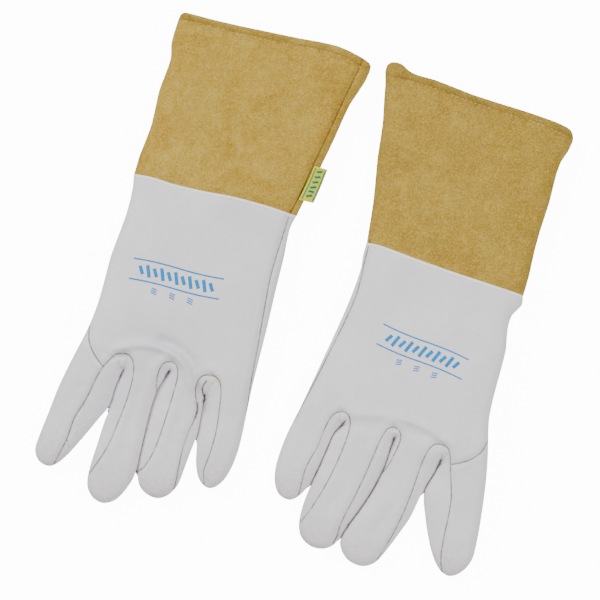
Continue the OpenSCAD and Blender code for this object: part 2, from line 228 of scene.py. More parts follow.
# Along the glove: y, height of the rim, rise of the top above it, drop of the underside below it.
STATIONS = [(-230, 8.2, 7.6, 8.0), (-190, 8.3, 8.0, 8.1), (-160, 8.8, 8.4, 8.4),
            (-140, 11.4, 8.6, 7.4), (-120, 14.2, 8.2, 5.0), (-60, 15.2, 7.8, 5.1),
            (-30, 14.8, 8.0, 6.0), (0, 12.4, 8.6, 9.2), (50, 9.6, 8.8, 9.2), (130, 9.2, 9.0, 8.9)]
ROUNDING = 9.0                  # how far in from the rim the leather curves
LITTLE_SIDE_SAG = 3.0           # the side of the hand without the thumb under it lies lower
STEP = 1.6                      # spacing of the points along an outline or a seam
STROKE_STEP = 0.7               # and along a stroke of ink
PAST_SEAM = 9.0                 # a fork's strip reaches this far past a seam that has ended
FINGER_SIDE = 60                # points of an outline, from a crotch, that face the next finger
FINGERS_FROM = -100             # y where the fingers' outlines begin
UNDER_INDEX_Y = -104            # y where the index finger's leather begins on the underside
LOWEST = 0.25                   # the leather's height above the floor where it lies on it
HIDE = 1.2                      # thickness of the grain leather, of the split leather, and at the hem
SPLIT = 1.5
HEM_WALL = 2.6
GUSSET = 6.0                    # width of the side strips as seen from below
WELT_WIDTH = 2.0
THUMB_CENTRE = (38, -56)
THUMB_BASE_R = 17.0
THUMB_LENGTH = 53.0             # from its centre to the middle of its round tip
THUMB_R = 15.0
THUMB_Z = 4.75
BASE_STEPS = 72
BASE_FOOT = 0.35
BASE_OPENS = 297.5              # degrees to the middle of the base's opening, and half its width
BASE_OPEN_HALF = 88
FLAP_R = 14.4
FLAP_FOOT = 2.8
FLAP_TOP = 8.7
FLAP_TURNS = [(298, 394), (151, 242)]   # degrees; each flap reaches past one end of the base's opening
FLAP_COLUMNS = 33
FLAP_ROWS = 4
BEND_HALF = 11.0                # a finger bends over this much each side of its hinge
WRIST_BEND = 13.0
BEND_Z = 10
TUCK_REACH = 4.5                # how far into a finger the tuck under its neighbour is felt
TOUCHING = 1.5                  # fingers nearer than this get painted shade in the gap between them
RAY_LOW, RAY_HIGH = -50, 90     # the heights from which the sheets are looked for
THREAD_R = 0.34
FINE_THREAD_R = 0.25
STITCH_PITCH = 3.3
STITCH_LENGTH = 2.2
STITCHES_LOST = 0.22            # share of the hem's stitches that can't be seen in the nap
LABEL_Z = 11.0
TAPE_THICKNESS = 0.4
INK_LIFT = 0.12
INK_THICKNESS = 0.1
PRINT_LINE = 7.2                # from the middle of the print to the lines above and below it
# the camera, the lights and the floor, in metres and watts
CAMERA_TURN = 18.0              # degrees, as the pair lies in the picture
CAMERA_HEIGHT = 2.4
VIEW_WIDTH = 0.42
LOOK_AT = (-0.0119, -0.0001)
LIGHTS = [("key", (-1.5, 1.45, 1.35), 1.1, 84.0), ("fill", (1.5, -0.6, 1.6), 1.8, 52.0)]
SKY = 0.76
FLOOR_GLOW = 12.0
FLOOR_HALF = 4
FLOOR_Z = -0.0004


# ---- lines and flat shapes ----

def smooth_line(points, step=STEP):
    """An evenly spaced line along a centripetal Catmull-Rom spline through the points."""
    p = np.array(points, float)
    p = np.vstack([2 * p[0] - p[1], p, 2 * p[-1] - p[-2]])
    dense = []
    for four in zip(p, p[1:], p[2:], p[3:]):
        spans = [math.sqrt(np.linalg.norm(b - a)) for a, b in zip(four, four[1:])]
        knots = np.concatenate([[0], np.cumsum(spans)])
        for t in np.linspace(knots[1], knots[2], 16, endpoint=False):
            row = list(four)
            for span in (1, 2, 3):
                row = [((knots[i + span] - t) * row[i] + (t - knots[i]) * row[i + 1])
                       / (knots[i + span] - knots[i]) for i in range(4 - span)]
            dense.append(row[0])
    dense.append(p[-2])
    dense = np.array(dense)
    along = np.concatenate([[0], np.cumsum(np.linalg.norm(np.diff(dense, axis=0), axis=1))])
    at = np.linspace(0, along[-1], max(3, round(along[-1] / step) + 1))
    return np.stack([np.interp(at, along, dense[:, k]) for k in range(dense.shape[1])], axis=1)


def sideways(line):
    """The unit vectors to the right of a line's direction."""
    way = np.gradient(line, axis=0)
    way /= np.linalg.norm(way, axis=1)[:, None]
    return np.stack([way[:, 1], -way[:, 0]], axis=1)


def x_of(line, y):
    """A line read as x at each y."""
    order = np.argsort(line[:, 1])
    return np.interp(y, line[order, 1], line[order, 0])


def inside(points, loop):
    """Which points lie in a closed loop."""
    found = np.zeros(len(points), bool)
    x, y = points[:, 0], points[:, 1]
    for (ax, ay), (bx, by) in zip(loop, np.roll(loop, -1, axis=0)):
        if ay != by:
            crosses = (ay > y) != (by > y)
            found ^= crosses & (x < ax + (y - ay) * (bx - ax) / (by - ay))
    return found


def tree_of(points):
    tree = KDTree(len(points))
    for i, point in enumerate(points):
        tree.insert((point[0], point[1], 0), i)
    tree.balance()
    return tree


def distances(points, lines):
    """From each point to the nearest point of the lines."""
    tree = tree_of(np.vstack(lines))
    return np.array([tree.find((x, y, 0))[2] for x, y in points])


def cut_flat(outline, opening, seams, pleats=(), spacing=2.1):
    """Cuts the flat shape inside the outline into triangles that have an edge along every line.
    outline is a list of lines that follow each other clockwise; the opening, one of them, isn't sewn shut.
    Returns the points, the triangles, and which points lie on the rim where the two sheets meet."""
    loop = np.vstack([line[:-1] for line in outline])
    kept = list(np.vstack(outline + seams))
    edges, shut, start = [], set(), 0
    for line in outline + seams:
        if any(line is other for other in outline) and line is not opening:
            shut |= set(range(len(edges), len(edges) + len(line) - 1))
        edges += [(start + i, start + i + 1) for i in range(len(line) - 1)]
        start += len(line)
    rows = [(0.35, outline), (1.1, outline), (2.4, outline)]
    rows += [(d, seams) for d in (0.8, -0.8, 2.0, -2.0)]
    low, high = loop.min(0), loop.max(0)
    lattice = [(x + (j % 2) * spacing / 2, y)
               for j, y in enumerate(np.arange(low[1], high[1], spacing * 0.866))
               for x in np.arange(low[0], high[0], spacing)]
    batches = [(abs(d) * 0.8, np.vstack([line + d * sideways(line) for line in lines]))
               for d, lines in rows if lines]
    if pleats:
        batches.append((0.45, np.vstack([line + d * sideways(line) for d in (0, 0.7, -0.7, 1.5, -1.5)
                                         for line in pleats])))
    for clear, batch in batches + [(1.3, np.array(lattice))]:
        tree = tree_of(kept)
        batch = batch[inside(batch, loop)]
        kept += [p for p in batch if tree.find((p[0], p[1], 0))[2] > clear]
    found = delaunay_2d_cdt([Vector(p) for p in kept], edges, [], 0, 1e-3)
    points = np.array([(v.x, v.y) for v in found[0]])
    triangles = np.array(found[2])
    triangles = triangles[inside(points[triangles].mean(1), loop)]
    rim = np.zeros(len(points), bool)
    for edge, origins in zip(found[1], found[4]):
        if shut.intersection(origins):
            rim[list(edge)] = True
    return points, triangles, rim


def rounding(points, triangles, rim, reach):
    """0 at the rim, rising to 1 within about the reach of it: a screened Poisson equation, solved."""
    corners = points[triangles]
    sides = np.roll(corners, -1, axis=1) - np.roll(corners, 1, axis=1)
    area = np.abs(np.cross(sides[:, 0], sides[:, 1])) / 2 + 1e-9
    stiffness = np.einsum("tik,tjk->tij", sides, sides) / (4 * area)[:, None, None] * reach ** 2
    count = len(points)
    mass = np.bincount(triangles.ravel(), np.repeat(area / 3, 3), count)
    rows = np.repeat(triangles, 3, axis=1).ravel()
    columns = np.tile(triangles, (1, 3)).ravel()
    values = stiffness.ravel()
    free = (~rim).astype(float)

    def apply(v):
        return (np.bincount(rows, values * v[columns], count) + mass * v) * free

    diagonal = np.bincount(rows[rows == columns], values[rows == columns], count) + mass + 1e-12
    u = np.zeros(count)
    left = mass * free
    way = left / diagonal
    rest = left @ way
    for _ in range(400):
        pushed = apply(way)
        step = rest / (way @ pushed)
        u += step * way
        left = left - step * pushed
        scaled = left / diagonal
        new = left @ scaled
        if new < 1e-10:
            break
        way = scaled + new / rest * way
        rest = new
    return np.clip(u, 0, 1)


def bump(distance, width):
    return np.exp(-(distance / width) ** 2)


def wrinkles(points, size, seed, stretch=(1, 1)):
    """Soft noise of about +-0.5, with that many millimetres between its humps."""
    return np.array([noise.noise(Vector((x / size / stretch[0], y / size / stretch[1], seed)))
                     for x, y in points])


# ---- meshes ----

class Glove:
    """One glove: its design, its name and side, and its place in the frame."""

    def __init__(self, design):
        self.design = design
        self.side = design["side"]
        self.name = "right" if self.side > 0 else "left"
        hinge = JOINTS[f"{self.name}_cuff_fold"]
        self.across = Vector(hinge["axis"]) * self.side
        self.along = Vector((0, 0, 1)).cross(Vector(hinge["axis"]))
        self.origin = Vector(hinge["pos_m"]) - self.along * 1.3 * MM
        self.origin.z = 0

    def world(self, points):
        """From the glove's own millimetres to the frame."""
        p = np.atleast_2d(np.array(points, float)) * MM
        place = (np.array(self.origin) + p[:, :1] * np.array(self.across)
                 + p[:, 1:2] * np.array(self.along))
        if p.shape[1] > 2:
            place[:, 2] += p[:, 2]
        return place

    def local(self, place):
        d = Vector(place) - self.origin
        return np.array([d.dot(self.across), d.dot(self.along)]) / MM

    def hinge(self, finger):
        """A finger's hinge and heading in the glove's frame."""
        joint = JOINTS[f"{self.name}_{finger}_bend"]
        heading = Vector((0, 0, 1)).cross(Vector(joint["axis"]))
        at = self.local(joint["pos_m"])
        return at, self.local(self.origin + heading * MM)


def normals_of(vertices, faces):
    corners = vertices[faces]
    flat = np.cross(corners[:, 1] - corners[:, 0], corners[:, 2] - corners[:, 0])
    total = np.zeros_like(vertices)
    for k in range(3):
        for axis in range(3):
            total[:, axis] += np.bincount(faces[:, k], flat[:, axis], len(vertices))
    return total / (np.linalg.norm(total, axis=1)[:, None] + 1e-12)


def facing_up(points, triangles, side):
    """The flat triangles turned to face up; in the left glove's mirrored frame, the other way."""
    one, two, three = (points[triangles[:, k]] for k in range(3))
    clockwise = np.cross(two - one, three - one) < 0
    triangles = triangles.copy()
    triangles[clockwise] = triangles[clockwise][:, ::-1]
    return triangles if side > 0 else triangles[:, ::-1]


def under(rim):
    """The point of the bottom sheet under each point of the top one; on the rim, the same one."""
    count = len(rim)
    return np.where(rim, np.arange(count), count + np.arange(count))


def mesh_object(name, vertices, faces, normals, materials, marks=None):
    mesh = bpy.data.meshes.new(name)
    mesh.from_pydata([tuple(v) for v in vertices], [], [tuple(int(i) for i in f) for f in faces])
    for material in materials:
        mesh.materials.append(material)
    mesh.polygons.foreach_set("use_smooth", [True] * len(mesh.polygons))
    for mark, values in (marks or {}).items():
        mesh.attributes.new(mark, "FLOAT", "POINT").data.foreach_set("value", values.astype(np.float32))
    if normals is not None:
        mesh.normals_split_custom_set_from_vertices([tuple(n) for n in normals])
    mesh.update()
    piece = bpy.data.objects.new(name, mesh)
    bpy.context.scene.collection.objects.link(piece)
    return piece


def leather(name, faces, vertices, normals, wall, material, marks):
    """One piece of leather: the faces of a sheet, given the wall's thickness on their inner side."""
    used, again = np.unique(faces, return_inverse=True)
    tris = again.reshape(-1, 3)
    count = len(used)
    outer, out = vertices[used], normals[used]
    inner = outer - out * wall * MM
    ways = np.vstack([tris[:, [0, 1]], tris[:, [1, 2]], tris[:, [2, 0]]])
    known = {(a, b) for a, b in ways.tolist()}
    border = [(a, b) for a, b in known if (b, a) not in known]
    walls = [(b, a, a + count, b + count) for a, b in sorted(border)]
    all_faces = tris.tolist() + (tris[:, ::-1] + count).tolist() + walls
    marks = {mark: np.concatenate([values[used], values[used] * 0]) for mark, values in marks.items()}
    vertices, normals = np.vstack([outer, inner]), np.vstack([out, -out])
    return mesh_object(name, vertices, all_faces, normals, [material], marks)


# ---- materials ----

def new_material(name):
    material = bpy.data.materials.new(name)
    material.use_nodes = True
    return material, material.node_tree.nodes["Principled BSDF"]


class Nodes:
    """Short ways to add the nodes that the materials share."""

    def __init__(self, material):
        self.tree = material.node_tree
        self.place = self.add("ShaderNodeTexCoord").outputs["Object"]

    def add(self, kind, **inputs):
        return self.fill(self.tree.nodes.new(kind), **inputs)

    def fill(self, node, **inputs):
        for key, value in inputs.items():
            self.put(node.inputs[key.replace("_", " ")], value)
        return node

    def put(self, socket, value):
        if isinstance(value, bpy.types.NodeSocket):
            self.tree.links.new(value, socket)
        else:
            socket.default_value = value

    def noise(self, size_mm, detail=3.0, roughness=0.55, distortion=0.0, stretch=None):
        place = self.place
        if stretch:
            mapping = self.add("ShaderNodeMapping", Vector=place, Scale=stretch, Rotation=(0, 0, 0.5))
            place = mapping.outputs["Vector"]
        node = self.add("ShaderNodeTexNoise", Vector=place, Scale=1 / (size_mm * MM), Detail=detail,
                        Roughness=roughness, Distortion=distortion)
        return node.outputs["Fac"]

    def cells(self, size_mm):
        node = self.add("ShaderNodeTexVoronoi", Vector=self.place, Scale=1 / (size_mm * MM))
        node.feature = "DISTANCE_TO_EDGE"
        return node.outputs["Distance"]

    def range(self, value, low, high, to_low, to_high):
        node = self.add("ShaderNodeMapRange")
        for i, setting in enumerate((value, low, high, to_low, to_high)):
            self.put(node.inputs[i], setting)
        return node.outputs[0]

    def math(self, kind, a, b):
        node = self.tree.nodes.new("ShaderNodeMath")
        node.operation = kind
        self.put(node.inputs[0], a)
        self.put(node.inputs[1], b)
        return node.outputs[0]

    def mix(self, share, a, b):
        node = self.tree.nodes.new("ShaderNodeMix")
        node.data_type = "RGBA"
        self.put(node.inputs[0], share)
        for socket, colour in ((node.inputs[6], a), (node.inputs[7], b)):
            self.put(socket, colour if isinstance(colour, bpy.types.NodeSocket) else (*colour, 1))
        return node.outputs[2]

    def cover(self, colour, other, pattern, low, high, most=1):
        """Lays another colour over this one where the pattern is high, at most so much of it."""
        return self.mix(self.range(pattern, low, high, 0, most), colour, other)

    def mark(self, name):
        """What the mesh says at each point under this name."""
        node = self.add("ShaderNodeAttribute")
        node.attribute_name = name
        return node.outputs["Fac"]

    def bump(self, height, strength, depth_mm, under=None):
        node = self.add("ShaderNodeBump", Height=height, Strength=strength, Distance=depth_mm * MM)
        if under:
            self.put(node.inputs["Normal"], under)
        return node.outputs["Normal"]


def seam_and_shade_colour(n, colour, dark, wear_mm):
    """Darkens what the mesh marks under the seam mark: the seams' own dark lines and the painted shade in
    creases, crotches and gaps between fingers, here and there more than elsewhere.
    """
    line = n.range(n.mark("seam"), 0.36, 0.85, 0, 1)
    patchy = n.range(n.noise(wear_mm, 2), 0.35, 0.6, 0.6, 1)
    return n.mix(n.math("MULTIPLY", line, patchy), colour, dark)


def grain_leather():
    """Smooth pearl-grey grain leather: faint clouds and stains, fine pores and soft creases."""
    material, shader = new_material("grain_leather")
    n = Nodes(material)
    colour = n.cover((0.614, 0.587, 0.622), (0.678, 0.645, 0.664), n.noise(34, 4), 0.35, 0.65)
    colour = n.cover(colour, (0.610, 0.575, 0.545), n.noise(15, 5, 0.6, 0.6), 0.55, 0.75, 0.4)
    colour = n.cover(colour, (0.50, 0.485, 0.49), n.noise(3.2, 4, 0.65), 0.35, 0.7, 0.3)
    colour = n.cover(colour, (0.42, 0.41, 0.42), n.noise(0.9, 2), 0.35, 0.7, 0.14)
    rubbed = n.math("MULTIPLY", n.mark("worn"), n.range(n.noise(2.0, 5, 0.75), 0.38, 0.66, 0, 0.75))
    colour = n.mix(rubbed, colour, (0.455, 0.420, 0.400))
    creases = n.bump(n.noise(6, 5, 0.6, 1.2), 0.45, 0.6)
    pores = n.bump(n.range(n.cells(0.9), 0, 0.25, 0, 1), 0.25, 0.12, creases)
    # the darkest colour is for the seams' lines and for the painted shade in creases, crotches and gaps
    # between fingers
    n.fill(shader, Base_Color=seam_and_shade_colour(n, colour, (0.10, 0.095, 0.095), 4),
           Roughness=n.range(n.noise(9, 3), 0.3, 0.7, 0.50, 0.66),
           Normal=n.bump(n.noise(0.6, 3), 0.35, 0.14, pores),
           Sheen_Weight=0.10, Sheen_Roughness=0.5, Specular_IOR_Level=0.35)
    return material


def split_leather():
    """Golden tan split leather: a brushed nap with light and dark patches, streaks and specks."""
    material, shader = new_material("split_leather")
    n = Nodes(material)
    patches = n.noise(30, 5, 0.62, 0.6)
    colour = n.cover((0.306, 0.172, 0.012), (0.400, 0.279, 0.044), patches, 0.38, 0.62)
    colour = n.cover(colour, (0.300, 0.168, 0.010), n.noise(11, 6, 0.75, 0.8), 0.42, 0.66, 0.6)
    streaks = n.noise(3.4, 5, 0.75, 1.2, (1, 0.4, 1))
    colour = n.cover(colour, (0.250, 0.140, 0.008), streaks, 0.48, 0.66, 0.6)
    colour = n.cover(colour, (0.480, 0.345, 0.080), n.noise(6, 6, 0.8, 0.4), 0.5, 0.64, 0.6)
    rubbed = n.math("MULTIPLY", n.mark("worn"), n.range(n.noise(14, 4, 0.6), 0.35, 0.6, 0.35, 0.95))
    colour = n.mix(rubbed, colour, (0.205, 0.130, 0.018))
    colour = n.cover(colour, (0.520, 0.372, 0.092), n.noise(1.3, 5, 0.8), 0.44, 0.60, 0.58)
    colour = n.cover(colour, (0.190, 0.100, 0.006), n.noise(0.9, 5, 0.85), 0.5, 0.62, 0.72)
    colour = n.cover(colour, (0.10, 0.07, 0.05), n.noise(3.0, 1, 0.3), 0.81, 0.83, 0.8)
    hollows = n.bump(n.noise(8, 5, 0.65, 0.6), 0.7, 1.3)
    tufts = n.bump(n.noise(1.5, 5, 0.8), 0.8, 0.8, hollows)
    # the darkest colour is for the seams' lines and for the painted shade in creases, crotches and gaps
    # between fingers
    n.fill(shader, Base_Color=seam_and_shade_colour(n, colour, (0.15, 0.08, 0.015), 5), Roughness=0.92,
           Normal=n.bump(n.noise(0.5, 2), 0.5, 0.25, tufts), Sheen_Weight=0.4,
           Sheen_Roughness=0.45, Sheen_Tint=(0.80, 0.50, 0.10, 1), Specular_IOR_Level=0.03)
    return material


def plain_weave(name, colour, thread_mm, roughness=0.7):
    """Thread, tape or ink: one colour with a fine twisted or woven relief."""
    material, shader = new_material(name)
    n = Nodes(material)
    shade = n.range(n.noise(thread_mm * 3, 3), 0.3, 0.7, 0, 1)
    dark, light = [c * 0.86 for c in colour], [min(1, c * 1.1) for c in colour]
    wave = n.add("ShaderNodeTexWave", Vector=n.place, Scale=0.31 / (thread_mm * MM), Distortion=1.0)
    n.fill(shader, Base_Color=n.mix(shade, dark, light), Roughness=roughness, Specular_IOR_Level=0.12,
           Normal=n.bump(wave.outputs["Fac"], 0.3, thread_mm * 0.3))
    return material


GRAIN = grain_leather()
CUT_EDGE = plain_weave("cut_edge", (0.76, 0.74, 0.75), 0.5, 0.8)
SUEDE = split_leather()
THREAD = plain_weave("cream_thread", (0.52, 0.38, 0.10), 0.3)
FINE_THREAD = plain_weave("fine_thread", (0.74, 0.64, 0.30), 0.2)
TAPE = plain_weave("yellow_tape", (0.56, 0.545, 0.0), 0.35, 0.8)
TAPE_LINING = plain_weave("teal_lining", (0.005, 0.17, 0.15), 0.35, 0.8)
INK = plain_weave("blue_ink", (0.0, 0.19, 0.52), 0.5, 0.9)


# ---- the surface of a glove ----

STATION_Y, RIM_Z, RISE, DROP = smooth_line(STATIONS, 2.0).T


def at_station(y, column):
    return np.interp(y, STATION_Y, column)


def ramp(t):
    t = np.clip(t, 0, 1)
    return t * t * (3 - 2 * t)


def straight(a, b, step=STEP):
    """An evenly spaced straight line."""
    a, b = np.array(a, float), np.array(b, float)
    count = max(2, round(np.linalg.norm(b - a) / step) + 1)
    return a + np.linspace(0, 1, count)[:, None] * (b - a)


def stroke(points):
    """A finely spaced line: straight through two points, smooth through more."""
    return smooth_line(points, STROKE_STEP) if len(points) > 2 else straight(*points, STROKE_STEP)


def under_seam(line, apex, at_start):
    """The seam under a finger, a gusset's width in from its outline, from crotch nearly to tip."""
    line = line if at_start else line[::-1]
    part = line[:int(np.argmax(line[:, 1] < line[:, 1].min() + 9))]
    left = np.arange(len(part))[::-1] * STEP
    depth = (GUSSET + 1.5) * ramp(left / 16) - 1.5
    seam = part + sideways(part) * (depth if at_start else -depth)[:, None]
    return smooth_line([apex] + list(seam[6:-1:5]) + [seam[-1]])


class Plan:
    """A glove's lines, each evenly spaced, and what lies between them."""

    def __init__(self, design, glove):
        self.fingers = [smooth_line(points) for points in design["fingers"]]
        sides = [smooth_line(design[k]) for k in ("cuff_little_side", "mouth", "cuff_index_side")]
        self.mouth = sides[1]
        self.outline = self.fingers + sides
        self.wrist = smooth_line(design["wrist"])
        self.welt = self.wrist - np.array([0, WELT_WIDTH])
        self.hem = smooth_line(design["hem"])
        self.forks = [[smooth_line(points) for points in pair] for pair in design["forks"]]
        self.index_edge = smooth_line(design["index_edge"])
        self.side_seam = smooth_line(design["side_seam"])
        self.cuff_seam = smooth_line(design["cuff_seam"])
        self.folds = [(smooth_line(points), height, width) for points, height, width in design["folds"]]
        self.gap_shade = design["gap_shade"]
        self.creases = [(smooth_line(points, 0.6), strength) for points, strength in design["creases"]]
        self.crotches = []
        self.under_forks = []
        for i, finger in enumerate(self.fingers[:3]):
            crotch = finger[-1]
            way = finger[-6] - crotch
            self.crotches.append((crotch, way / np.linalg.norm(way)))
            apex = crotch + np.array([0.5, 7.5])
            self.under_forks.append([under_seam(self.fingers[i], apex, False),
                                     under_seam(self.fingers[i + 1], apex, True)])
        self.under_index = smooth_line([(67, -103), (58, -108), (46, -118), self.under_forks[0][0][4]])
        self.cuts, self.tips, self.whole = [], [], []
        for i, finger in enumerate(self.fingers):
            at, heading = glove.hinge(FINGERS[i])
            self.cuts.append(self.cut_across(finger, at - heading * BEND_HALF, heading))
            self.whole.append(finger[finger[:, 1] < FINGERS_FROM])
        self.top_seams = [line for pair in self.forks for line in pair]
        self.top_seams += [self.index_edge, self.side_seam]
        self.top_seams += [self.cuff_seam] if design["side"] < 0 else []
        self.low_seams = [line for pair in self.under_forks for line in pair] + [self.under_index]
        self.bands = [self.wrist, self.welt, self.hem, self.cuff_seam]
        self.loose_threads = design["loose_threads"]
        self.cuff_wear = design["cuff_wear"]
        self.pleats = [line for line, _ in self.creases]
        turn = np.linspace(0, 2 * math.pi, 67)
        round_it = np.stack([np.cos(turn), np.sin(turn)], axis=1)
        self.thumb_hole = np.array(THUMB_CENTRE) + THUMB_BASE_R * round_it
        edge = self.forks[0][0]
        self.index_line = np.vstack([self.index_edge[:-1], edge[edge[:, 1] < self.index_edge[-1, 1]]])

    def cut_across(self, finger, start, heading):
        """The line across a finger where it begins to bend; the outline beyond it is kept as its tip."""
        beyond = np.where((finger - start) @ heading > 0)[0]
        first, last = beyond[0], beyond[-1]
        self.tips.append(finger[first:last + 1])
        return straight(finger[first], finger[last])

    def top_piece(self, x, y):
        """Which piece of leather each place on the top sheet belongs to."""
        places = np.stack([x, y], axis=1)
        names = np.full(len(x), "back_panel", object)
        names[x < x_of(self.side_seam, y)] = "palm_panel"
        names[(x > x_of(self.index_line, y)) & (y < self.index_line[0, 1])] = "index_knuckle"
        self.name_forks(names, places, self.forks)
        self.name_fingers(names, places)
        self.name_cuff(names, x, y, x < x_of(self.cuff_seam, y))
        return names

    def low_piece(self, x, y):
        """The same on the bottom sheet."""
        places = np.stack([x, y], axis=1)
        names = np.full(len(x), "palm_panel", object)
        names[(x > x_of(self.under_index, y)) & (y < UNDER_INDEX_Y)] = "index_knuckle"
        self.name_forks(names, places, self.under_forks)
        self.name_fingers(names, places)
        names = np.array([{"middle_back": "middle_front", "ring_back": "ring_front",
                           "little_back": "little_front"}.get(n, n) for n in names], object)
        names[(x - THUMB_CENTRE[0]) ** 2 + (y - THUMB_CENTRE[1]) ** 2 < THUMB_BASE_R ** 2] = "hole"
        self.name_cuff(names, x, y, np.ones(len(x), bool))
        return names

    def name_forks(self, names, places, forks):
        """Between a fork's two seams; past a seam's end the strip goes on to the finger's outline."""
        x, y = places.T
        for i, (toward_index, toward_little) in enumerate(forks):
            below = y < toward_index[0, 1]
            near = x_of(toward_index, y) - PAST_SEAM * (y < toward_index[-1, 1])
            far = x_of(toward_little, y) + PAST_SEAM * (y < toward_little[-1, 1])
            in_near = inside(places, self.whole[i])
            in_far = inside(places, self.whole[i + 1])
            gusset = below & (x < near) & (x > far) & ~in_near & ~in_far
            gusset |= below & ((in_near & (x < near)) | (in_far & (x > far)))
            names[gusset] = "fork_" + FORKS[i]

    def name_fingers(self, names, places):
        """Past its cut a finger has its own pieces: a fork becomes a gusset, a panel a back or front."""
        for i, finger in enumerate(FINGERS):
            beyond = inside(places, self.tips[i])
            forks = names.copy()
            names[beyond] = "index_wrap" if i == 0 else finger + "_back"
            if i == 3:
                names[beyond & (forks == "palm_panel")] = "little_front"
            for fork, other in ((i, i + 1), (i - 1, i - 1)):
                if 0 <= fork < len(FORKS):
                    only_one = finger in ("index", "little")
                    gusset = f"{finger}_gusset" if only_one else f"{finger}_{FINGERS[other]}_gusset"
                    names[beyond & (forks == "fork_" + FORKS[fork])] = gusset

    def name_cuff(self, names, x, y, on_palm):
        above = y > np.interp(x, *self.wrist[::-1].T)
        names[y > np.interp(x, *self.wrist[::-1].T) - WELT_WIDTH] = "wrist_welt"
        names[above] = "cuff_back"
        names[above & on_palm] = "cuff_palm"
        names[y > np.interp(x, *self.hem[::-1].T)] = "cuff_hem"


def valley(distance, depth=1.2):
    """A seam pulled down into the leather, with the leather beside it standing a little proud."""
    return -depth * bump(distance, 1.15) + 0.35 * bump(distance - 3.6, 1.8)


